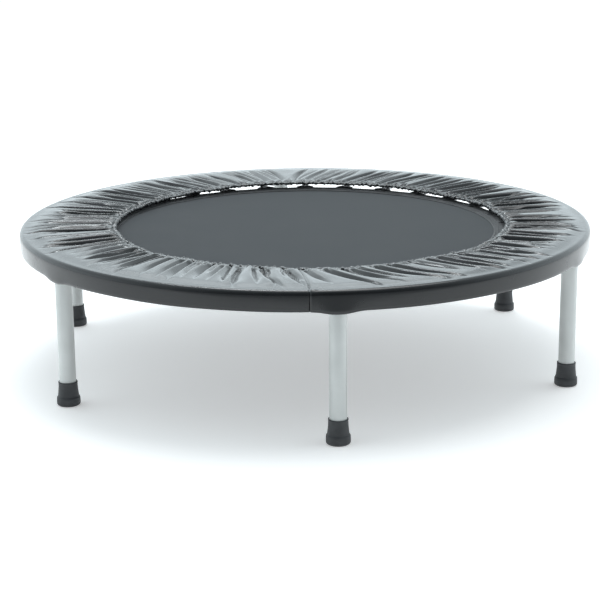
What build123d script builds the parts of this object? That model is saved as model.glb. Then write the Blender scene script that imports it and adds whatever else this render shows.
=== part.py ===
from build123d import *
from build123d.topology import SkipClean
from math import radians, sin
import os

# Mini trampoline with a welded hoop, six screw-on legs and an elastic-hemmed spring cover.
# Millimetres, +Z up. The origin is on the floor, under the middle of the mat.
# Azimuth 0 is the front (-Y) and grows towards +X.

# Overall size
overall_diameter = 914.4
overall_height = 225.5

# Hoop and spring cover
tube_diameter = 25.4
tube_wall = 1.5
cover_thickness = 1.5
cover_top_gap = 0.5
cover_side_gap = 1.0
skirt_height = 28.7

# Mat and springs
spring_count = 30
mat_radius = 335.0
mat_thickness = 0.8
binding_width = 30.0
tape_thickness = 1.0
layer_gap = 0.1
loop_width = 20.0
loop_start_radius = 318.0
triangle_wire = 3.0
triangle_bar_radius = 341.0
triangle_half_width = 17.0
triangle_depth = 19.0
triangle_corner = 2.5
spring_wire = 2.2
coil_mean_radius = 4.4
coil_skin = 0.1
coil_start_radius = 367.0
coil_end_radius = 419.0
hook_clearance = 0.2
hook_wrap = 160.0
hook_overlap = 3.0
hook_hole_diameter = 4.5
hook_bend = 3.0
hook_tip = 5.0

# Cover corner and hems
corner_radius = 8.0
opening_radius = 312.0
hem_outer_radius = 4.0
hem_channel_radius = 3.0
hem_drop = 2.2
elastic_cord_radius = 2.7
skirt_hem_height = 7.0
skirt_hem_thickness = 1.8
skirt_channel_inset = 0.5
elastic_band_thickness = 0.6
elastic_band_height = 5.0

# Legs, their seats under the hoop, and the studs that hold them
leg_count = 6
seat_bottom = 193.0
press_gap = 0.05
stud_diameter = 10.0
stud_running_gap = 0.05
stud_length = 16.4
stud_chamfer = 1.0
stud_head_height = 4.5
nut_height = 14.0
washer_diameter = 24.0
washer_bore = 11.0
washer_thickness = 1.6

# Rubber feet
foot_height = 37.0
foot_flange_height = 14.0
foot_flange_diameter = 35.6
foot_sleeve_top_diameter = 28.5
foot_sleeve_bottom_diameter = 32.0
foot_base = 5.0
foot_plate_thickness = 1.5
foot_edge_rounding = 3.0
foot_step_rounding = 1.5
foot_lip_rounding = 0.6

# Derived sizes
tube_radius = tube_diameter / 2
tube_bore = tube_radius - tube_wall
outer_radius = overall_diameter / 2
hoop_radius = outer_radius - cover_thickness - cover_side_gap - tube_radius
hoop_z = overall_height - cover_thickness - cover_top_gap - tube_radius
hook_z = hoop_z + coil_mean_radius
coil_bore = coil_mean_radius - spring_wire / 2 - coil_skin
coil_outer = coil_mean_radius + spring_wire / 2 + coil_skin
triangle_wire_radius = triangle_wire / 2
spring_wire_radius = spring_wire / 2
leg_top = seat_bottom - washer_thickness
leg_bottom = foot_base + foot_plate_thickness
skirt_bottom = overall_height - skirt_height
spring_step = 360 / spring_count
leg_step = 360 / leg_count


def turned(shape, azimuth):
    """A shape made with its outward direction along +X, turned to an azimuth."""
    return Rot(0, 0, azimuth - 90) * shape


def ring(inner, outer, low, high):
    """A flat ring, or a tube standing on Z."""
    whole = Cylinder(outer, high - low) - Cylinder(inner, high - low)
    return Pos(0, 0, (low + high) / 2) * whole


def disc(radius, low, high):
    return Pos(0, 0, (low + high) / 2) * Cylinder(radius, high - low)


def wire_along(path, start_plane, radius):
    return sweep(start_plane * Circle(radius), path=path)


def frame_hoop():
    """The bent and welded tube, with one hole for each spring in its inner wall."""
    section = Pos(hoop_radius, hoop_z) * (Circle(tube_radius) - Circle(tube_bore))
    segment = Rot(0, 0, -spring_step / 2) * revolve(Plane.XZ * section, Axis.Z, spring_step)
    drill = Rot(0, 90, 0) * Cylinder(hook_hole_diameter / 2, tube_radius)
    segment -= Pos(hoop_radius - tube_radius, 0, hook_z) * drill
    segments = [turned(segment, spring_azimuth(number)) for number in range(spring_count)]
    # Merging the faces of a whole torus would lose its holes.
    with SkipClean():
        return segments[0].fuse(*segments[1:])


def spring_azimuth(number):
    """Springs stand half a step to each side of every leg."""
    return (number + 0.5) * spring_step


def leg_azimuth(number):
    return (number - 1) * leg_step


def leg_seat():
    """A stub of tube, cut to fit the underside of the hoop where it is welded."""
    stub = ring(tube_bore, tube_radius, seat_bottom, hoop_z)
    saddle = Pos(-hoop_radius, 0, hoop_z) * Torus(hoop_radius, tube_radius + press_gap)
    return stub - saddle


def leg_stud():
    """A stud whose round head fills the seat, with its free end pointing down."""
    stud = disc(stud_diameter / 2, seat_bottom - stud_length, seat_bottom)
    stud = chamfer(stud.edges().group_by(Axis.Z)[0], stud_chamfer)
    return stud + disc(tube_bore - press_gap, seat_bottom, seat_bottom + stud_head_height)


def triangle_apex_radius():
    """How far out the wire's centre comes at the rounded tip of the triangle."""
    half_angle = Vector(triangle_depth, triangle_half_width).get_angle(Vector(1, 0))
    inset = triangle_corner / sin(radians(half_angle)) - triangle_corner
    return triangle_bar_radius + triangle_depth - inset


def mat_ring():
    """A triangle of round wire. Its bar lies in the webbing loop."""
    corners = [
        (triangle_bar_radius, -triangle_half_width),
        (triangle_bar_radius + triangle_depth, 0),
        (triangle_bar_radius, triangle_half_width),
    ]
    outline = make_face(Polyline(*corners, close=True))
    outline = fillet(outline.vertices(), triangle_corner)
    path = Pos(0, 0, hoop_z) * outline.wire()
    start = Plane(origin=path @ 0, z_dir=path % 0)
    return wire_along(path, start, triangle_wire_radius)


def mat_loop():
    """Webbing folded round a triangle's bar and sewn above and below the binding."""
    inner = triangle_wire_radius + layer_gap
    outer = inner + tape_thickness
    length = triangle_bar_radius - loop_start_radius
    outside = Pos(length / 2, 0) * Rectangle(length, 2 * outer)
    outside += Pos(length, 0) * Circle(outer)
    inside = Pos(length / 2, 0) * Rectangle(length, 2 * inner)
    inside += Pos(length, 0) * Circle(inner)
    side = Plane.XZ.offset(-loop_width / 2) * (outside - inside)
    return Pos(loop_start_radius, 0, hoop_z) * extrude(side, loop_width)


def binding():
    """Tape folded over the rim of the mat."""
    half_inside = mat_thickness / 2 + layer_gap
    half_outside = half_inside + tape_thickness
    inner = mat_radius - binding_width
    rim = mat_radius + layer_gap
    body = ring(inner, rim + tape_thickness, hoop_z - half_outside, hoop_z + half_outside)
    return body - ring(inner - 1, rim, hoop_z - half_inside, hoop_z + half_inside)


def spring():
    """An extension spring as a tube the size of its closed coil, with both hooks."""
    length = coil_end_radius - coil_start_radius
    coil = Cylinder(coil_outer, length) - Cylinder(coil_bore, length)
    coil = Pos((coil_start_radius + coil_end_radius) / 2, 0, hoop_z) * Rot(0, 90, 0) * coil
    inner_face = triangle_apex_radius() - triangle_wire_radius
    hook_centre = inner_face - hook_clearance - spring_wire_radius + coil_mean_radius
    mat_start = (coil_start_radius + hook_overlap, hook_z)
    mat_line = Line(mat_start, (hook_centre, hook_z))
    mat_arc = CenterArc((hook_centre, hoop_z), coil_mean_radius, 90, hook_wrap)
    hoop_start = (coil_end_radius - hook_overlap, hook_z)
    bend_start = hoop_radius - tube_bore + hook_bend
    hoop_line = Line(hoop_start, (bend_start, hook_z))
    bend = CenterArc((bend_start, hook_z - hook_bend), hook_bend, 90, -90)
    tip = Line(bend @ 1, bend @ 1 - Vector(0, hook_tip))
    inwards = Plane(origin=(mat_start[0], 0, hook_z), z_dir=(-1, 0, 0))
    outwards = Plane(origin=(hoop_start[0], 0, hook_z), z_dir=(1, 0, 0))
    mat_hook = wire_along(Plane.XZ * (mat_line + mat_arc), inwards, spring_wire_radius)
    hoop_hook = wire_along(Plane.XZ * (hoop_line + bend + tip), outwards, spring_wire_radius)
    return coil + mat_hook + hoop_hook


def cover_hem_centre():
    """The middle of the inner hem's section, as (distance from Z, height)."""
    height = overall_height - hem_drop - hem_outer_radius
    return opening_radius + hem_outer_radius, height


def spring_cover():
    """One strip of vinyl: inner hem, top, rounded corner over the hoop, and skirt."""
    hem_x, hem_z = cover_hem_centre()
    hem_top = hem_z + hem_outer_radius
    corner_x = outer_radius - corner_radius
    corner_z = overall_height - corner_radius
    inner_skirt = outer_radius - cover_thickness
    inner_corner = corner_radius - cover_thickness
    sheet = make_face(
        [
            Line((hem_x, hem_top), (corner_x, overall_height)),
            CenterArc((corner_x, corner_z), corner_radius, 90, -90),
            Line((outer_radius, corner_z), (outer_radius, skirt_bottom)),
            Line((outer_radius, skirt_bottom), (inner_skirt, skirt_bottom)),
            Line((inner_skirt, skirt_bottom), (inner_skirt, corner_z)),
            CenterArc((corner_x, corner_z), inner_corner, 90, -90),
            Line((corner_x, overall_height - cover_thickness), (hem_x, hem_top - cover_thickness)),
            Line((hem_x, hem_top - cover_thickness), (hem_x, hem_top)),
        ]
    )
    section = sheet + Pos(hem_x, hem_z) * Circle(hem_outer_radius)
    section -= Pos(hem_x, hem_z) * Circle(hem_channel_radius)
    hem_middle = outer_radius - skirt_hem_thickness / 2, skirt_bottom + skirt_hem_height / 2
    section += Pos(*hem_middle) * Rectangle(skirt_hem_thickness, skirt_hem_height)
    channel_width = skirt_hem_thickness - 2 * skirt_channel_inset
    channel_height = skirt_hem_height - 2 * skirt_channel_inset
    section -= Pos(*hem_middle) * Rectangle(channel_width, channel_height)
    return revolve(Plane.XZ * section, Axis.Z)


def inner_elastic():
    hem_x, hem_z = cover_hem_centre()
    return Pos(0, 0, hem_z) * Torus(hem_x, elastic_cord_radius)


def outer_elastic():
    middle = outer_radius - skirt_hem_thickness / 2
    centre_z = skirt_bottom + skirt_hem_height / 2
    half_thick = elastic_band_thickness / 2
    half_high = elastic_band_height / 2
    return ring(middle - half_thick, middle + half_thick, centre_z - half_high, centre_z + half_high)


def leg_foot():
    """A rubber tip: a flange on the floor and a sleeve that grips the tube."""
    flange = disc(foot_flange_diameter / 2, 0, foot_flange_height)
    flange = fillet(flange.edges().group_by(Axis.Z)[0], foot_edge_rounding)
    flange = fillet(flange.edges().group_by(Axis.Z)[-1], foot_step_rounding)
    sleeve_height = foot_height - foot_flange_height
    bottom_radius = foot_sleeve_bottom_diameter / 2
    top_radius = foot_sleeve_top_diameter / 2
    sleeve = Cone(bottom_radius, top_radius, sleeve_height)
    sleeve = fillet(sleeve.edges().group_by(Axis.Z)[-1], foot_lip_rounding)
    sleeve = Pos(0, 0, foot_flange_height + sleeve_height / 2) * sleeve
    return flange + sleeve - disc(tube_radius + press_gap, foot_base, foot_height + 1)


def leg_pieces():
    """One leg, with the seat and stud that hold it, standing on Z."""
    nut_bore = stud_diameter / 2 + stud_running_gap
    return {
        "seat": leg_seat(),
        "stud": leg_stud(),
        "washer": ring(washer_bore / 2, washer_diameter / 2, leg_top, seat_bottom),
        "nut": ring(nut_bore, tube_bore - press_gap, leg_top - nut_height, leg_top),
        "tube": ring(tube_bore, tube_radius, leg_bottom, leg_top),
        "foot_plate": disc(tube_radius - press_gap, foot_base, leg_bottom),
        "foot": leg_foot(),
    }


def at_leg(shape, number):
    return turned(Pos(hoop_radius, 0, 0) * shape, leg_azimuth(number))


def around(shape):
    """One copy for each spring."""
    return Compound([turned(shape, spring_azimuth(number)) for number in range(spring_count)])


def save(node, shape):
    export_step(shape, f"parts/{node}.step")


os.makedirs("parts", exist_ok=True)
save("frame_hoop", frame_hoop())
save("springs", around(spring()))
save("spring_cover", spring_cover())
save("inner_elastic", inner_elastic())
save("outer_elastic", outer_elastic())
save("mat", disc(mat_radius, hoop_z - mat_thickness / 2, hoop_z + mat_thickness / 2))
save("mat_binding", binding())
save("mat_loops", around(mat_loop()))
save("mat_rings", around(mat_ring()))
for number in range(1, leg_count + 1):
    for name, piece in leg_pieces().items():
        save(f"leg_{number}_{name}", at_leg(piece, number))
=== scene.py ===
from math import cos, pi, radians, sin

import bpy
import numpy as np
from mathutils import Matrix, Vector


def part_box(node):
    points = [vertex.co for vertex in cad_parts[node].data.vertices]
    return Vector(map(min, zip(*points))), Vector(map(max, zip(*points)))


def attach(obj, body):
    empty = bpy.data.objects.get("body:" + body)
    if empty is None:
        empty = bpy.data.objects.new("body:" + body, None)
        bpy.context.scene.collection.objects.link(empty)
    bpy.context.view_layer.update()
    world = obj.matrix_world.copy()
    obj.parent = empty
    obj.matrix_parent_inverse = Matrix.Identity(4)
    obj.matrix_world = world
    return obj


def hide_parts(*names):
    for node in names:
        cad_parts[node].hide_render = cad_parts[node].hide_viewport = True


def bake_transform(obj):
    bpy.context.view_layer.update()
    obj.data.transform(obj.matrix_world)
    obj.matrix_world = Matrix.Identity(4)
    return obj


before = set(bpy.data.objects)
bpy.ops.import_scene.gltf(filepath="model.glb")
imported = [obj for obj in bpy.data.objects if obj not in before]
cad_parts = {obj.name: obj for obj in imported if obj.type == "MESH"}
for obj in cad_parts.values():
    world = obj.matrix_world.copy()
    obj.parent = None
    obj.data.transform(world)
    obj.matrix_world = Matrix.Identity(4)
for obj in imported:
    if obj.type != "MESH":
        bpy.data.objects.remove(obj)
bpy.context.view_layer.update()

# ---------------------------------------------------------------- sizes, in metres
MM = 0.001
LEGS = range(1, 7)
SPRINGS = 30
SPRING_STEP = 360 / SPRINGS


def heights(node):
    """The node's lowest and highest level."""
    low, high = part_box(node)
    return low[2], high[2]


hoop_low, hoop_high = heights("frame_hoop")
tube_radius = (hoop_high - hoop_low) / 2
hoop_z = (hoop_low + hoop_high) / 2
hoop_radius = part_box("frame_hoop")[1][0] - tube_radius
rim_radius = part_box("spring_cover")[1][0]
skirt_bottom, cover_top = heights("spring_cover")
mat_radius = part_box("mat")[1][0]
mat_z = sum(heights("mat")) / 2
seat_bottom = heights("leg_1_seat")[0]
stud_bottom, stud_top = heights("leg_1_stud")

# The cover's opening, the casing round its inner elastic, the corner over the hoop, and the whole strip
opening_radius = 312 * MM
opening_shift = Vector((9 * MM, -1.2 * MM))
opening_back_reach = 8 * MM
casing_width = 10 * MM
casing_middle = 5 * MM
vinyl_thickness = 0.7 * MM
corner_radius = 7 * MM
corner_x = rim_radius - corner_radius
corner_z = cover_top - corner_radius


# ---------------------------------------------------------------- camera, lights, floor
def add_camera():
    """The camera looks at leg 1 from a little to its left."""
    azimuth, distance, height = radians(-5.80), 2679.6 * MM, 812.4 * MM
    pitch, yaw, roll = radians(15.08), radians(5.61), radians(-0.51)
    forward = Vector((sin(yaw) * cos(pitch), cos(yaw) * cos(pitch), -sin(pitch)))
    right = Vector((cos(yaw), -sin(yaw), 0))
    up = right.cross(forward)
    rolled_right = right * cos(roll) + up * sin(roll)
    rolled_up = up * cos(roll) - right * sin(roll)
    matrix = Matrix((rolled_right, rolled_up, -forward)).transposed().to_4x4()
    matrix.translation = (distance * sin(azimuth), -distance * cos(azimuth), height)
    data = bpy.data.cameras.new("camera")
    data.lens, data.sensor_width = 101.27, 36
    camera = bpy.data.objects.new("camera", data)
    camera.matrix_world = matrix
    bpy.context.scene.collection.objects.link(camera)
    bpy.context.scene.camera = camera


def add_area_light(name, place, target, size, power, colour=(1, 1, 1)):
    data = bpy.data.lights.new(name, "AREA")
    data.shape = "RECTANGLE"
    data.size, data.size_y = size
    data.energy = power
    data.color = colour
    light = bpy.data.objects.new(name, data)
    light.location = place
    light.rotation_euler = (Vector(target) - Vector(place)).to_track_quat("-Z", "Y").to_euler()
    bpy.context.scene.collection.objects.link(light)


def add_world():
    """A white studio: brightest low down behind the object, dim low down on the camera's side."""
    world = bpy.data.worlds.new("studio")
    bpy.context.scene.world = world
    world.use_nodes = True
    tree = world.node_tree
    background = tree.nodes["Background"]
    split = add_node(tree, "SeparateXYZ")
    tree.links.new(add_node(tree, "TexCoord").outputs["Generated"], split.inputs[0])
    to_back = spread(tree, split.outputs["Y"], 0.10, 1.0, -0.95, 0.25, "SMOOTHSTEP")
    to_top = spread(tree, split.outputs["Z"], 1.0, 0.70, 0.28, 0.70, "SMOOTHSTEP")
    brightness = combine(tree, "MULTIPLY", to_back, to_top)
    colour_mix(tree, brightness, (0.0, 0.0, 0.0), (0.85, 0.955, 1.0), background.inputs["Color"])
    background.inputs["Strength"].default_value = 1.45


def add_floor():
    """Pale paper with a painted glow near the object that stands in for light from below, and painted shade:
    greyer from a metre in front of the object, so that the skirt reflects it darker.
    """
    half, below = 40, 0.2 * MM
    mesh = bpy.data.meshes.new("floor")
    corners = [(-half, -half, 0), (half, -half, 0), (half, half, 0), (-half, half, 0)]
    mesh.from_pydata(corners, [], [(0, 1, 2, 3)])
    floor = bpy.data.objects.new("floor", mesh)
    bpy.context.scene.collection.objects.link(floor)
    floor.location.z = -below
    material = bpy.data.materials.new("floor_paper")
    tree, shader = nodes_of(material)
    split = add_node(tree, "SeparateXYZ")
    tree.links.new(add_node(tree, "TexCoord").outputs["Object"], split.inputs[0])
    # painted shade: the paper is grey from a metre in front of the object; painted light: the paper glows
    # near the object, with no lamp under it
    painted_shade_grey, pale, painted_glow = 0.45, 0.94, 0.36
    near = spread(tree, split.outputs["Y"], 0, 1, -1.15, -0.99)
    colour_mix(tree, near, (painted_shade_grey,) * 3, (pale,) * 3, shader.inputs["Base Color"])
    # painted light: emission near the object stands in for light from below
    tree.links.new(combine(tree, "MULTIPLY", near, painted_glow), shader.inputs["Emission Strength"])
    shader.inputs["Emission Color"].default_value = (1, 1, 1, 1)
    tree.links.new(spread(tree, noise(tree, 3), 0.8, 0.9), shader.inputs["Roughness"])
    mesh.materials.append(material)


# ---------------------------------------------------------------- materials
def nodes_of(material):
    material.use_nodes = True
    tree = material.node_tree
    return tree, tree.nodes["Principled BSDF"]


def add_node(tree, kind, **settings):
    node = tree.nodes.new("ShaderNode" + kind)
    for key, value in settings.items():
        setattr(node, key, value)
    return node


def noise(tree, scale, detail=4):
    """A noise pattern in the piece's own metres."""
    place = add_node(tree, "TexCoord").outputs["Object"]
    texture = add_node(tree, "TexNoise")
    texture.inputs["Scale"].default_value = scale
    texture.inputs["Detail"].default_value = detail
    tree.links.new(place, texture.inputs["Vector"])
    return texture.outputs["Fac"]


def combine(tree, operation, *values):
    """A math node; each value is a number or another node's output."""
    node = add_node(tree, "Math", operation=operation)
    for socket, value in zip(node.inputs, values):
        if isinstance(value, (int, float)):
            socket.default_value = value
        else:
            tree.links.new(value, socket)
    return node.outputs[0]


def colour_mix(tree, factor, one, other, target):
    """The target is one colour where the factor is 0, and the other where it is 1."""
    mix = add_node(tree, "Mix", data_type="RGBA")
    mix.inputs[6].default_value = (*one, 1)
    mix.inputs[7].default_value = (*other, 1)
    tree.links.new(factor, mix.inputs[0])
    tree.links.new(mix.outputs[2], target)


def spread(tree, value, low, high, start=0.3, end=0.7, kind="LINEAR"):
    """The value stretched from start..end to low..high."""
    node = add_node(tree, "MapRange", interpolation_type=kind)
    node.inputs["From Min"].default_value = start
    node.inputs["From Max"].default_value = end
    node.inputs["To Min"].default_value = low
    node.inputs["To Max"].default_value = high
    tree.links.new(value, node.inputs["Value"])
    return node.outputs[0]


def bump(tree, shader, height, distance):
    node = add_node(tree, "Bump")
    node.inputs["Distance"].default_value = distance
    node.inputs["Strength"].default_value = 1.0
    tree.links.new(height, node.inputs["Height"])
    tree.links.new(node.outputs[0], shader.inputs["Normal"])


def set_values(shader, values):
    """Constants on the shader's inputs; an underscore stands for a space."""
    for key, value in values.items():
        shader.inputs[key.replace("_", " ")].default_value = value


def surface(name, colour, shade, scale, roughness, spread_by, grain, grain_height, **values):
    """A material with mottled colour and roughness, a grain, and constants set on the shader."""
    material = bpy.data.materials.new(name)
    tree, shader = nodes_of(material)
    mottle = noise(tree, scale)
    colour_mix(tree, spread(tree, mottle, 0, 1), colour, shade, shader.inputs["Base Color"])
    rough = spread(tree, noise(tree, scale * 2.7), roughness - spread_by, roughness + spread_by)
    tree.links.new(rough, shader.inputs["Roughness"])
    bump(tree, shader, noise(tree, grain, 3), grain_height)
    set_values(shader, values)
    return material


def weave(name, colour, shade, thread, roughness, height, **values):
    """A plain weave: threads of that pitch along X and Y, over and under each other."""
    material = bpy.data.materials.new(name)
    tree, shader = nodes_of(material)
    place = add_node(tree, "TexCoord").outputs["Object"]
    split = add_node(tree, "SeparateXYZ")
    tree.links.new(place, split.inputs[0])
    threads = [combine(tree, "SINE", combine(tree, "MULTIPLY", split.outputs[axis], pi / thread))
               for axis in ("X", "Y")]
    over = combine(tree, "MULTIPLY", *threads)
    mottle = noise(tree, 9)
    cells = combine(tree, "MULTIPLY_ADD", over, 0.22, mottle)
    colour_mix(tree, spread(tree, cells, 0, 1, 0.2, 0.8), colour, shade, shader.inputs["Base Color"])
    rough = spread(tree, mottle, roughness - 0.05, roughness + 0.05)
    tree.links.new(rough, shader.inputs["Roughness"])
    bump(tree, shader, over, height)
    set_values(shader, values)
    return material


def make_materials():
    return {
        "vinyl": surface("cover_vinyl", (0.007, 0.008, 0.009), (0.012, 0.013, 0.015), 14, 0.24,
                         0.05, 900, 0.00003, IOR=1.40, Coat_Weight=0.5, Coat_Roughness=0.11,
                         Coat_IOR=1.42),
        "bead": surface("hem_vinyl", (0.010, 0.012, 0.014), (0.020, 0.023, 0.026), 60, 0.28,
                        0.08, 700, 0.0001, IOR=1.45, Coat_Weight=0.5, Coat_Roughness=0.14),
        "mat": weave("mat_weave", (0.054, 0.058, 0.062), (0.063, 0.068, 0.073), 1.3 * MM, 0.85,
                     0.00010, IOR=1.3),
        "webbing": weave("webbing", (0.020, 0.021, 0.023), (0.034, 0.036, 0.039), 1.6 * MM, 0.7,
                         0.0002, Sheen_Weight=0.2),
        "thread": surface("sewing_thread", (0.05, 0.052, 0.056), (0.09, 0.094, 0.1), 300, 0.55,
                          0.05, 2500, 0.0001),
        "paint": surface("silver_paint", (0.56, 0.58, 0.57), (0.62, 0.64, 0.63), 22, 0.36,
                         0.05, 1300, 0.00003, Metallic=0.35, Coat_Weight=0.25, Coat_Roughness=0.25),
        "zinc": surface("zinc_plate", (0.55, 0.56, 0.57), (0.66, 0.67, 0.67), 90, 0.33,
                        0.08, 800, 0.00004, Metallic=1.0),
        "spring": surface("spring_wire", (0.46, 0.47, 0.48), (0.6, 0.61, 0.62), 120, 0.3,
                          0.08, 900, 0.00003, Metallic=1.0),
        "weld": surface("weld_bead", (0.38, 0.4, 0.4), (0.5, 0.52, 0.52), 260, 0.42,
                        0.08, 700, 0.0002, Metallic=0.4),
        "nylon": surface("washer_nylon", (0.30, 0.31, 0.31), (0.36, 0.37, 0.37), 80, 0.5,
                         0.05, 900, 0.00003),
        "rubber": surface("foot_rubber", (0.036, 0.038, 0.041), (0.052, 0.055, 0.059), 70, 0.55,
                          0.07, 1100, 0.0001, IOR=1.5),
        "elastic": surface("elastic", (0.03, 0.03, 0.032), (0.05, 0.05, 0.053), 400, 0.7,
                           0.05, 1500, 0.0002),
    }


# ---------------------------------------------------------------- meshes
def polar(azimuth, radius, height):
    """Azimuth 0 is the front, -Y, and grows towards +X. In radians; arrays are welcome."""
    x, y = radius * np.sin(azimuth), -radius * np.cos(azimuth)
    return np.stack(np.broadcast_arrays(x, y, height), -1)


def new_piece(name, points, faces, material, body, smooth=True):
    """A piece that rides on the body, or on none yet if body is None."""
    mesh = bpy.data.meshes.new(name)
    faces = faces.tolist() if isinstance(faces, np.ndarray) else faces
    mesh.from_pydata(np.asarray(points, float).reshape(-1, 3).tolist(), [], faces)
    mesh.polygons.foreach_set("use_smooth", [smooth] * len(mesh.polygons))
    mesh.materials.append(material)
    piece = bpy.data.objects.new(name, mesh)
    bpy.context.scene.collection.objects.link(piece)
    if body:
        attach(piece, body)
    return piece


def new_piece_of(name, parts, material, body, smooth=True):
    """One piece from several (points, faces)."""
    points, faces, count = [], [], 0
    for part_points, part_faces in parts:
        points.append(np.asarray(part_points).reshape(-1, 3))
        faces += [[index + count for index in face] for face in part_faces]
        count += len(points[-1])
    return new_piece(name, np.concatenate(points), faces, material, body, smooth)


def grid_faces(rows, cols, close_rows=False):
    """Quads over points[row, col]; the columns close round, and the rows too if asked."""
    i, j = np.meshgrid(np.arange(rows if close_rows else rows - 1), np.arange(cols), indexing="ij")
    up, side = (i + 1) % rows, (j + 1) % cols
    quads = np.stack([i * cols + j, i * cols + side, up * cols + side, up * cols + j], -1)
    return quads.reshape(-1, 4)


def smooth_step(value, low, high):
    part = np.clip((value - low) / (high - low), 0, 1)
    return part * part * (3 - 2 * part)


def round_ring(one, other, turn):
    """Directions round each point, at each turn from the first direction towards the other."""
    return one[:, None] * np.cos(turn)[None, :, None] + other[:, None] * np.sin(turn)[None, :, None]


def tube_along(path, radius, sides=8, closed=False):
    """(points, faces) of a tube round a path of points, with flat ends unless the path is closed."""
    path = np.asarray(path, float)
    if closed:
        along = np.roll(path, -1, 0) - np.roll(path, 1, 0)
    else:
        along = np.gradient(path, axis=0)
    along /= np.linalg.norm(along, axis=1)[:, None]
    normal = np.zeros_like(path)
    steep = abs(along[0, 2]) >= 0.9
    seed = np.array([1.0, 0, 0] if steep else [0, 0, 1.0])
    for k, direction in enumerate(along):
        seed = seed - direction * (seed @ direction)
        seed /= np.linalg.norm(seed)
        normal[k] = seed
    side = np.cross(along, normal)
    turn = np.arange(sides) / sides * 2 * pi
    ring = round_ring(normal, side, turn)
    points = path[:, None] + ring * radius
    faces = grid_faces(len(path), sides, close_rows=closed).tolist()
    if not closed:
        last = (len(path) - 1) * sides
        faces += [list(range(sides))[::-1], list(range(last, last + sides))]
    return points.reshape(-1, 3), faces


# ---------------------------------------------------------------- spring cover
COLUMNS = 2160
SEAM_AZIMUTH = radians(-5.0)
azimuths = np.arange(COLUMNS) / COLUMNS * 2 * pi


def angle_between(one, other):
    return (one - other + pi) % (2 * pi) - pi


def wander(random, steps, size):
    """A smooth random curve round the hoop, with that many swings."""
    curve = np.zeros(COLUMNS)
    for n in range(1, steps + 1):
        curve += random.normal() * np.cos(n * azimuths + random.uniform(0, 2 * pi))
    return curve / max(np.abs(curve).max(), 1e-9) * size


def backwards():
    """0 at the front and most of the way round, rising to 1 at the back."""
    return ((1 - np.cos(azimuths)) / 2) ** 5


def hem_radius():
    """Distance of the hem's inner edge from the hoop's axis: nearly round, and pulled off centre."""
    along = opening_shift.x * np.sin(azimuths) - opening_shift.y * np.cos(azimuths)
    random = np.random.default_rng(11)
    return opening_radius + along + opening_back_reach * backwards() + wander(random, 14, 2.0 * MM)


def slant_at(azimuth):
    """How far a fold swings sideways on its way out: most at the front, least at the sides."""
    turn = (azimuth + pi) % (2 * pi) - pi
    front = 11 * np.exp(-((turn - radians(10)) / radians(25)) ** 2)
    left = 5 * np.exp(-((turn + radians(50)) / radians(40)) ** 2)
    back = -6 * np.sign(turn) * np.exp(-((np.abs(turn) - pi) / radians(50)) ** 2)
    return radians(front + left + back - 1)


# The deepest folds, left of the seam: azimuth at the hem and at the rim in degrees, reach, depth in mm
DEEP_FOLDS = (
    (-17.0, -8.8, 0.98, 11.0),
    (-10.5, -3.5, 0.72, 9.0),
    (-25.2, -20.6, 0.85, 8.0),
    (-22.8, -18.2, 0.80, 8.0),
)


def crease(path, radius, s, end, side, steep, gentle):
    """Shape of one crease, 0 to 1: steep on one side, gentle on the other, and pointed at its end.

    steep and gentle are half widths in mm. Also gives the distance from the crease, and its taper."""
    taper = 1 - smooth_step(s, end * 0.5, end)
    offset = angle_between(azimuths[None, :], path) * radius
    width = np.where(offset * side > 0, steep, gentle) * MM * (0.45 + 0.55 * taper)
    return taper * np.exp(-(np.abs(offset) / width) ** 1.55), offset, taper


def gathered(across):
    """Depth and swell of the gathers, for across = 0 at the casing's stitching to 1 at the corner."""
    random = np.random.default_rng(5)
    s = across[:, None]
    stitch = hem_radius() + casing_width
    radius = stitch + (corner_x - stitch) * s
    depth = np.zeros((len(across), COLUMNS))
    swell = np.zeros_like(depth)
    calm = 1.1 - 0.5 * ((1 - np.cos(azimuths)) / 2) ** 4
    open_up = 0.4 + 0.6 * smooth_step(s, 0.0, 0.12)
    kinds = (
        # gap in degrees, reach, depth in mm, steep side in mm, gentle side in mm
        ((1.7, 3.6), (0.80, 1.06), (6.5, 10.5), (2.2, 3.6), (5.0, 9.5)),
        ((2.2, 6.0), (0.50, 0.95), (2.5, 5.0), (1.4, 2.4), (2.5, 5.0)),
        ((0.7, 1.4), (0.08, 0.28), (1.5, 3.2), (0.7, 1.1), (1.0, 1.8)),
    )
    for number, (gap, reach, deep, steep, gentle) in enumerate(kinds):
        centre = 0.0
        while centre < 2 * pi:
            front = np.exp(-(angle_between(centre, 0) / radians(32)) ** 2) * (number < 2)
            step = radians(random.uniform(*gap)) * (1 + 0.7 * front)
            centre += step
            slant = slant_at(centre) + random.normal(0, radians(0.9))
            path = centre + slant * s ** 1.15 + random.normal(0, radians(0.5)) * np.sin(pi * s)
            side = 1 if random.uniform() < 0.7 else -1
            shape, offset, taper = crease(path, radius, s, random.uniform(*reach), side,
                                          random.uniform(*steep), random.uniform(*gentle))
            shape = shape * (open_up if number < 2 else 1.0)
            depth = np.maximum(depth, random.uniform(*deep) * MM * shape)
            if number == 0:
                hump = np.exp(-(offset / (step * 0.42 * radius)) ** 2)
                swell += random.uniform(-1.5, 3.2) * MM * hump * taper
    for start, finish, end, deep in DEEP_FOLDS:
        path = radians(start) + radians(finish - start) * s
        shape, _, _ = crease(path, radius, s, end, 1, 3.2, 6.5)
        depth = np.maximum(depth, deep * MM * shape * open_up)
    return depth * calm, swell * calm


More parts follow.
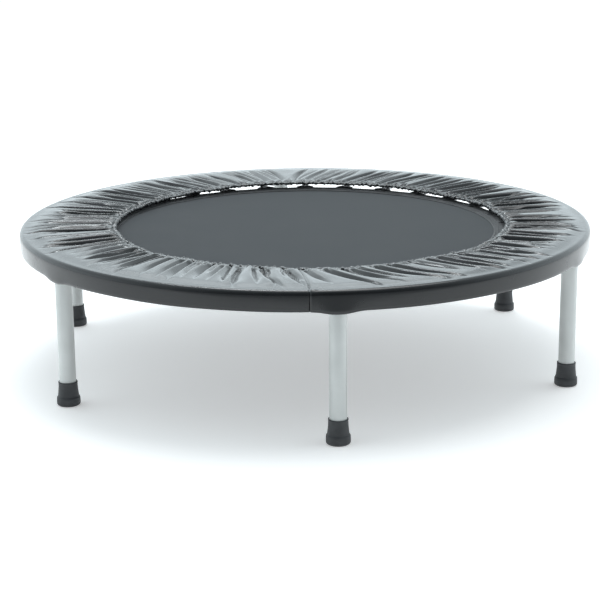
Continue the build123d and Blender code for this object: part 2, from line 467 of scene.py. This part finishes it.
def cover_rows():
    """Points of the cover from the hem's casing, over the hoop and down the skirt, as [row, column]."""
    random = np.random.default_rng(21)
    stitch = hem_radius() + casing_width
    rows = []
    across = np.concatenate([np.linspace(0, 0.10, 5), np.linspace(0.13, 0.97, 26), [1.0]])
    depth, swell = gathered(across)
    level = wander(random, 9, 0.8 * MM)
    sink, rise, groove_depth, groove_reach = 1.6 * MM, 2.6 * MM, 1.6 * MM, 0.035
    for k, s in enumerate(across):
        radius = stitch + (corner_x - stitch) * s
        base = cover_top - sink * (1 - s) ** 1.4
        fade = 1 - smooth_step(s, 0.78, 0.98)
        groove = groove_depth * np.exp(-(s / groove_reach) ** 2)
        height = base + (level + rise + swell[k]) * fade - depth[k] - groove
        rows.append(polar(azimuths, radius, height))
    # the first row lies in the middle of the casing, which hangs a little lower at the sides
    sides = np.exp(-((np.abs(angle_between(azimuths, 0)) - radians(122)) / radians(24)) ** 2)
    evened = np.mean([np.roll(rows[0][:, 2], k) for k in range(-18, 19)], axis=0)
    hem_level = evened - (1.8 + 1.2 * sides) * MM
    rows.insert(0, polar(azimuths, hem_radius() + casing_middle, hem_level))
    sag = wander(random, 18, 0.5 * MM)
    for turn in np.linspace(0, pi / 2, 7)[1:]:
        radius = corner_x + corner_radius * sin(turn)
        rows.append(polar(azimuths, radius, corner_z + corner_radius * cos(turn)))
    drop = np.zeros(COLUMNS)
    for leg in LEGS:
        offset = angle_between(azimuths, radians(60 * (leg - 1)))
        drop += np.exp(-(np.abs(offset) / radians(3.1)) ** 2.6)
    dip, bulge, tuck = 4.2 * MM, 1.0 * MM, 0.9 * MM
    bottom = skirt_bottom - drop * dip + sag
    pull = drop * bulge - tuck
    for t in np.linspace(0, 1, 8)[1:]:
        radius = rim_radius + pull * t * t + sag * 0.6 * t
        rows.append(polar(azimuths, radius, corner_z + (bottom - corner_z) * t))
    edge = rim_radius + pull + sag * 0.6
    for inset, turned_up in ((0.7, -0.6), (1.7, -0.6), (2.4, 0.6), (2.4, 8.0)):
        rows.append(polar(azimuths, edge - inset * MM, bottom + turned_up * MM))
    return np.array(rows)


def seam_groove(rows):
    """The strip's one seam: a narrow lap that runs down the skirt and bends over the top."""
    radius = np.hypot(rows[..., 0], rows[..., 1])
    azimuth = np.arctan2(rows[..., 0], -rows[..., 1])
    inward = np.clip((corner_x - radius) / (corner_x - opening_radius), 0, 1)
    lean, lap_height, dent_depth = radians(2.6), 0.9 * MM, 2.6 * MM
    offset = angle_between(azimuth, SEAM_AZIMUTH - lean * inward ** 1.4) * radius
    lap = lap_height * (smooth_step(offset, 0, 0.8 * MM) - smooth_step(offset, 5 * MM, 12 * MM))
    dent = -dent_depth * np.exp(-((offset + 0.4 * MM) / (1.1 * MM)) ** 2)
    push = (lap + dent)[..., None]
    outward = np.stack([rows[..., 0] / radius, rows[..., 1] / radius, np.zeros_like(radius)], -1)
    upward = np.zeros_like(outward)
    upward[..., 2] = 1
    side = smooth_step(radius, corner_x, rim_radius - 1 * MM)[..., None]
    return rows + push * (outward * side + upward * (1 - side))


def add_cover(materials):
    rows = seam_groove(cover_rows())
    cover = new_piece("spring_cover_vinyl", rows, grid_faces(len(rows), COLUMNS), materials["vinyl"], None)
    thick = cover.modifiers.new("thickness", "SOLIDIFY")
    thick.thickness = vinyl_thickness
    thick.offset = -1
    bpy.context.view_layer.objects.active = cover
    with bpy.context.temp_override(object=cover, active_object=cover):
        bpy.ops.object.modifier_apply(modifier=thick.name)
    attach(cover, "frame")
    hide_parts("spring_cover")
    return rows


def add_hem(materials, rows):
    """The casing round the inner elastic, puckered all the way round, and the elastic in it."""
    random = np.random.default_rng(8)
    sides = 20
    turns = np.arange(sides) / sides * 2 * pi
    puckers = np.zeros((sides, COLUMNS))
    centre = 0.0
    while centre < 2 * pi:
        centre += radians(random.uniform(0.45, 1.05))
        lean = random.normal(0, radians(0.6))
        offset = angle_between(azimuths[None, :], centre + lean * np.sin(turns)[:, None])
        u = offset / radians(random.uniform(0.16, 0.30))
        pucker = random.uniform(0.4, 1.0) * np.exp(-u * u)
        puckers += pucker * (0.75 + 0.25 * np.cos(turns - random.uniform(0, 6)))[:, None]
    size = 2.9 * MM + 2.5 * MM * puckers
    wide, flat = 1.1, 0.72
    middle = hem_radius() + casing_middle + wander(random, 90, 0.5 * MM)
    height = rows[0][:, 2] + wander(random, 70, 0.4 * MM)
    points = [
        polar(azimuths, middle + size[k] * wide * cos(turn), height + size[k] * flat * sin(turn))
        for k, turn in enumerate(turns)
    ]
    bead = new_piece("inner_hem_casing", np.array(points), grid_faces(sides, COLUMNS, close_rows=True),
                     materials["bead"], "frame")
    path = polar(azimuths[::6], middle[::6], height[::6])
    cord = new_piece("inner_elastic_cord", *tube_along(path, 1.6 * MM, closed=True),
                     materials["elastic"], "frame")
    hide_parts("inner_elastic")


def add_outer_elastic(materials, rows):
    """The flat band inside the skirt's turned-up hem."""
    outer, inner = rows[-4], rows[-1]
    middle = (outer[:, :2] + inner[:, :2]) / 2
    low, high = outer[:, 2] + 1.6 * MM, outer[:, 2] + 6.6 * MM
    half_thickness = middle / np.linalg.norm(middle, axis=1)[:, None] * 0.25 * MM
    loops = [np.column_stack([middle + side * half_thickness, level])
             for side, level in ((-1, low), (1, low), (1, high), (-1, high))]
    points = np.array(loops)[:, ::4]
    band = new_piece("outer_elastic_band", points, grid_faces(4, points.shape[1], close_rows=True),
                     materials["elastic"], "frame", smooth=False)
    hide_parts("outer_elastic")


# ---------------------------------------------------------------- sewing
def stitch_parts(centres, along, up, length, thick=0.45 * MM):
    """Small raised threads: one at each centre, lying along a direction on a surface facing up."""
    # place along the stitch, rise over the surface, and thickness, as shares
    shape = [(-0.5, -0.3, 0.35), (-0.2, 0.8, 1.0), (0.2, 0.8, 1.0), (0.5, -0.3, 0.35)]
    sides = 6
    turns = np.arange(sides) / sides * 2 * pi
    ring = round_ring(np.cross(along, up), up, turns)
    points = []
    for place, rise, fat in shape:
        middle = centres + along * place * length + up * rise * thick
        points.append(middle[:, None] + ring * fat * thick)
    one = grid_faces(len(shape), sides)
    firsts = np.arange(len(centres)) * len(shape) * sides
    faces = (one[None] + firsts[:, None, None]).reshape(-1, 4)
    return np.stack(points, 1).reshape(-1, 3), faces.tolist()


def ring_stitches(radius, height, pitch, up):
    """A round row of stitches; up is 1 on top of the cloth and -1 under it."""
    count = int(2 * pi * radius / pitch)
    azimuth = np.arange(count) / count * 2 * pi
    along = np.column_stack([np.cos(azimuth), np.sin(azimuth), np.zeros(count)])
    ups = np.tile([0, 0, float(up)], (count, 1))
    return stitch_parts(polar(azimuth, radius, height), along, ups, pitch * 0.72)


def add_skirt_stitches(materials, rows):
    """The row of stitches that holds the turned-up hem."""
    line = rows[-6] * 0.3 + rows[-7] * 0.7
    picks = np.arange(0, COLUMNS, 2)
    out = np.column_stack([np.sin(azimuths), -np.cos(azimuths), np.zeros(COLUMNS)])
    along = np.column_stack([np.cos(azimuths), np.sin(azimuths), np.zeros(COLUMNS)])
    stitches = stitch_parts(line[picks], along[picks], out[picks], 2.7 * MM, 0.35 * MM)
    piece = new_piece("hem_stitches", *stitches, materials["thread"], "frame")


# ---------------------------------------------------------------- mat and its rim
MAT_COLUMNS = 720


def lathe(profile, columns, ripple=None):
    """A closed profile of (radius, height) points turned round Z."""
    azimuth = np.arange(columns) / columns * 2 * pi
    rows = []
    for radius, height in profile:
        lift = ripple(radius, azimuth) if ripple else 0
        rows.append(polar(azimuth, np.full(columns, radius), height + lift))
    return np.array(rows)


def mat_ripple(radius, azimuth):
    """The springs pull the rim at thirty places, so that the cloth between them stands in low waves."""
    near = np.exp(-(mat_radius - radius) / (26 * MM))
    return 0.35 * MM * near * np.cos(SPRINGS * azimuth + pi)


def add_mat(materials):
    half = 0.4 * MM
    inner = np.linspace(0.6 * MM, 280 * MM, 24)
    outer = np.linspace(285 * MM, mat_radius, 14)
    radii = np.concatenate([[0.02 * MM], inner, outer])
    profile = [(r, mat_z + half) for r in radii] + [(r, mat_z - half) for r in radii[::-1]]
    rows = lathe(profile, MAT_COLUMNS, mat_ripple)
    mat = new_piece("mat_cloth", rows, grid_faces(len(rows), MAT_COLUMNS, close_rows=True),
                    materials["mat"], "bed")
    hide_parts("mat")


def add_binding(materials):
    """Webbing folded over the mat's rim, with three rows of stitches on each side."""
    inner, rim, gap, tape = mat_radius - 30 * MM, mat_radius + 0.1 * MM, 0.5 * MM, 1.0 * MM
    out, high = rim + tape, gap + tape
    step = 1 * MM
    section = [
        (inner, high - 0.2 * MM), (inner + step, high), (out - step, high), (out, high - 0.8 * MM),
        (out, -high + 0.8 * MM), (out - step, -high), (inner + step, -high), (inner, -high + 0.2 * MM),
        (inner, -gap), (rim, -gap), (rim, gap), (inner, gap),
    ]
    rows = lathe([(r, mat_z + z) for r, z in section], MAT_COLUMNS, mat_ripple)
    band = new_piece("mat_rim_binding", rows, grid_faces(len(rows), MAT_COLUMNS, close_rows=True),
                     materials["webbing"], "bed")
    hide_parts("mat_binding")
    rows_of = [ring_stitches(radius, mat_z + side * (high + 0.1 * MM), 4.2 * MM, side)
               for radius in (inner + 3.5 * MM, inner + 8 * MM, out - 5 * MM) for side in (1, -1)]
    thread = new_piece_of("binding_stitches", rows_of, materials["thread"], "bed")


def spring_azimuths():
    return [radians((number + 0.5) * SPRING_STEP) for number in range(SPRINGS)]


def turn_to(points, azimuth):
    """Points made with outwards along +X, turned to an azimuth."""
    turn = azimuth - pi / 2
    x = points[..., 0] * cos(turn) - points[..., 1] * sin(turn)
    y = points[..., 0] * sin(turn) + points[..., 1] * cos(turn)
    return np.stack([x, y, points[..., 2]], -1)


def add_loops(materials):
    """Webbing round the bar of each triangle ring, sewn down with a crossed box of stitches."""
    start, bar, inner, tape, half = 318 * MM, 341 * MM, 1.6 * MM, 1.0 * MM, 10 * MM
    outer, bevel = inner + tape, 0.5 * MM
    turns = np.linspace(pi / 2, -pi / 2, 11)
    outside = [(bar + outer * cos(t), outer * sin(t)) for t in turns]
    outside = [(start, outer), *outside, (start, -outer)]
    inside = [(bar + inner * cos(t), inner * sin(t)) for t in turns[::-1]]
    inside = [(start, -inner), *inside, (start, inner)]
    section = np.array(outside + inside)
    count = len(section)
    template = np.array([
        np.column_stack([section[:, 0], np.full(count, width), mat_z + section[:, 1]])
        for width in (-half, -half + bevel, half - bevel, half)
    ])
    faces = grid_faces(len(template), count).tolist()
    for first, flip in ((0, True), (3 * count, False)):
        for k in range(len(outside) - 1):
            quad = [first + k, first + k + 1, first + count - 2 - k, first + count - 1 - k]
            faces.append(quad[::-1] if flip else quad)
    parts, sewing = [], []
    # four sides and two diagonals, from corner to corner
    box = [(-1, -1, 1, -1), (1, -1, 1, 1), (1, 1, -1, 1), (-1, 1, -1, -1), (-1, -1, 1, 1), (-1, 1, 1, -1)]
    box_middle, box_half, pitch, stitch, thread = 328 * MM, 7 * MM, 3.2 * MM, 2.3 * MM, 0.4 * MM
    for azimuth in spring_azimuths():
        parts.append((turn_to(template.reshape(-1, 3), azimuth), faces))
        for x0, y0, x1, y1 in box:
            begin, finish = np.array([(x0, y0), (x1, y1)], float) * box_half
            length = np.linalg.norm(finish - begin)
            steps = max(2, int(length / pitch))
            share = (np.arange(steps) + 0.5) / steps
            flat = begin + (finish - begin) * share[:, None]
            along = np.tile(np.append((finish - begin) / length, 0), (steps, 1))
            for side in (1, -1):
                level = mat_z + side * (outer + 0.1 * MM)
                centres = np.column_stack([flat[:, 0] + box_middle, flat[:, 1], np.full(steps, level)])
                up = np.tile([0, 0, float(side)], (steps, 1))
                turned = turn_to(centres, azimuth), turn_to(along, azimuth)
                sewing.append(stitch_parts(*turned, up, stitch, thread))
    loops = new_piece_of("mat_webbing_loops", parts, materials["webbing"], "bed", smooth=False)
    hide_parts("mat_loops")
    thread = new_piece_of("loop_stitches", sewing, materials["thread"], "bed")


# ---------------------------------------------------------------- springs
def spring_path():
    """The middle of the wire: hook round the triangle's tip, coil, hook down through the hoop."""
    mean, start, end, turns = 4.4 * MM, 368 * MM, 418 * MM, 22
    ring_tip, wire_gap = 361.5 * MM, 1.9 * MM
    hook_x = ring_tip - wire_gap
    hook = [(hook_x + mean * cos(t), 0, mean * sin(t)) for t in np.radians(np.linspace(250, 90, 15))]
    lead = [(x, 0, mean) for x in np.linspace(hook_x, start - 1 * MM, 4)[1:]]
    steps = np.linspace(0, 2 * pi * turns, turns * 14 + 1)
    coil = [(start + (end - start) * t / steps[-1], mean * sin(t), mean * cos(t)) for t in steps]
    bend_x, bend_radius, tip_length = hoop_radius - tube_radius + 4.5 * MM, 3 * MM, 5 * MM
    out = [(x, 0, mean) for x in np.linspace(end + 1 * MM, bend_x, 5)]
    bend = [(bend_x + bend_radius * sin(t), 0, mean - bend_radius + bend_radius * cos(t))
            for t in np.linspace(0.3, pi / 2, 6)]
    tip = [(bend_x + bend_radius, 0, mean - bend_radius - tip_length)]
    path = np.array(hook + lead + coil + out + bend + tip)
    path[:, 2] += mat_z
    return path


def add_springs(materials):
    points, faces = tube_along(spring_path(), 1.1 * MM)
    for number, azimuth in enumerate(spring_azimuths(), 1):
        spring = new_piece(f"spring_{number:02d}", turn_to(points, azimuth), faces, materials["spring"], None)
        hoop_end = polar(azimuth, 430 * MM, mat_z)
        mat_end = polar(azimuth, 356 * MM, mat_z)
        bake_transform(spring)
        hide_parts("springs")


# ---------------------------------------------------------------- welds, studs and feet
def leg_centre(leg):
    """The middle of the leg at floor level, and its azimuth."""
    azimuth = radians(60 * (leg - 1))
    return polar(azimuth, hoop_radius, 0.0), azimuth


def add_welds(materials):
    """A bead where each seat meets the hoop, and one round the hoop's own butt joint."""
    random = np.random.default_rng(17)
    turns = np.linspace(0, 2 * pi, 72, endpoint=False)
    parts = []
    for leg in LEGS:
        centre, azimuth = leg_centre(leg)
        radius = tube_radius + 0.6 * MM + 0.25 * MM * np.sin(turns * 18 + random.uniform(0, 6))
        height = hoop_z - np.abs(np.sin(turns)) * (tube_radius + 0.5 * MM)
        path = np.column_stack([radius * np.cos(turns), radius * np.sin(turns), height])
        keep = height < hoop_z - 3 * MM
        for run in (keep & (np.sin(turns) > 0), keep & (np.sin(turns) < 0)):
            points, faces = tube_along(path[run], 1.5 * MM)
            parts.append((turn_to(points, azimuth) + centre, faces))
    butt_azimuth, butt_radius = radians(30), tube_radius + 0.2 * MM
    ring = np.column_stack([hoop_radius + butt_radius * np.cos(turns), 0.3 * MM * np.sin(turns * 22),
                            hoop_z + butt_radius * np.sin(turns)])
    points, faces = tube_along(ring, 1.3 * MM, closed=True)
    parts.append((turn_to(points, butt_azimuth), faces))
    beads = new_piece_of("weld_beads", parts, materials["weld"], "frame")


def add_studs(materials):
    """The threaded studs on which the legs screw, each with its round head in the seat."""
    pitch, depth, radius, lead_length = 1.5 * MM, 0.85 * MM, 4.95 * MM, 1.6 * MM
    head, bevel = 11.1 * MM, 0.5 * MM
    head_low, head_high = seat_bottom + 0.4 * MM, stud_top - 0.4 * MM
    columns = 36
    turns = np.arange(columns) / columns * 2 * pi
    rows = [(3.2 * MM, stud_bottom)]
    for z in np.linspace(stud_bottom + 0.2 * MM, seat_bottom, 110):
        phase = (z / pitch - turns / (2 * pi)) % 1
        tooth = np.abs(phase - 0.5) * 2
        thread = radius - depth * np.clip(tooth * 1.25 - 0.12, 0, 1)
        lead = np.clip((z - stud_bottom) / lead_length, 0, 1)
        rows.append((np.minimum(thread, 3.6 * MM + lead * 1.4 * MM), z))
    rows += [(head - bevel, seat_bottom), (head, head_low), (head, head_high), (head - bevel, stud_top)]
    points = np.array([
        np.column_stack([r * np.cos(turns), r * np.sin(turns), np.full(columns, z)]) for r, z in rows
    ]).reshape(-1, 3)
    faces = grid_faces(len(rows), columns).tolist()
    faces += [list(range(columns))[::-1], list(range((len(rows) - 1) * columns, len(rows) * columns))]
    for leg in LEGS:
        centre, _ = leg_centre(leg)
        stud = new_piece(f"leg_{leg}_threaded_stud", points + centre, faces, materials["zinc"], "frame")
        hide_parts(f"leg_{leg}_stud")


def foot_section():
    """Half of the rubber tip's section: tread rings, flange, step, waisted sleeve, lip and bore."""
    tread = [(0.5, 0.0)]
    for groove in (4.0, 7.5, 11.0):
        tread += [(groove, 0.0), (groove + 0.4, 1.1), (groove + 1.4, 1.1), (groove + 1.8, 0.0)]
    flange = [(14.6, 0.0), (15.9, 0.25), (16.9, 0.95), (17.55, 2.0), (17.8, 3.2), (17.8, 4.2), (17.6, 4.6),
              (17.6, 5.0), (17.8, 5.4), (17.75, 9.0), (17.6, 11.6), (17.2, 12.9), (16.5, 13.7), (16.05, 14.1)]
    sleeve = [(15.85, 15.0), (15.6, 17.0), (15.15, 21.0), (14.75, 25.0), (14.45, 29.0), (14.3, 33.0),
              (14.3, 34.4), (14.55, 35.0), (14.6, 36.0), (14.35, 36.8), (13.9, 37.0), (13.1, 36.8)]
    bore = [(12.8, 36.2), (12.8, 20.0), (12.8, 5.2), (0.5, 5.0)]
    return [(r * MM, z * MM) for r, z in tread + flange + sleeve + bore]


def add_feet(materials):
    columns = 64
    rows = lathe(foot_section(), columns)
    faces = grid_faces(len(rows), columns, close_rows=True)
    for leg in LEGS:
        centre, _ = leg_centre(leg)
        foot = new_piece(f"leg_{leg}_rubber_foot", rows + centre, faces, materials["rubber"], f"leg_{leg}")
        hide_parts(f"leg_{leg}_foot")


def paint_cad(materials):
    """Materials for the CAD pieces that stay as they are."""
    kinds = {"frame_hoop": "paint", "mat_rings": "zinc"}
    for leg in LEGS:
        kinds |= {
            f"leg_{leg}_tube": "paint",
            f"leg_{leg}_seat": "paint",
            f"leg_{leg}_washer": "nylon",
            f"leg_{leg}_nut": "zinc",
            f"leg_{leg}_foot_plate": "zinc",
        }
    for name, kind in kinds.items():
        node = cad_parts[name]
        node.data.materials.clear()
        node.data.materials.append(materials[kind])


# ---------------------------------------------------------------- the whole scene
materials = make_materials()
add_camera()
add_world()
add_area_light("highlight", (-0.3, 1.35, 2.7), (-0.1, 0, 0.2), (1.5, 0.3), 18, (0.9, 0.97, 1))
add_area_light("back_strip", (0.1, 3.0, 2.1), (0, 0, 0.2), (2.0, 0.8), 6, (0.9, 0.97, 1))
add_area_light("overhead", (0.3, 0.4, 3.0), (0, 0, 0.2), (2.4, 1.6), 34)
add_floor()
paint_cad(materials)
rows = add_cover(materials)
add_hem(materials, rows)
add_outer_elastic(materials, rows)
add_skirt_stitches(materials, rows)
add_mat(materials)
add_binding(materials)
add_loops(materials)
add_springs(materials)
add_welds(materials)
add_studs(materials)
add_feet(materials)
bpy.context.scene.view_settings.view_transform = "Standard"
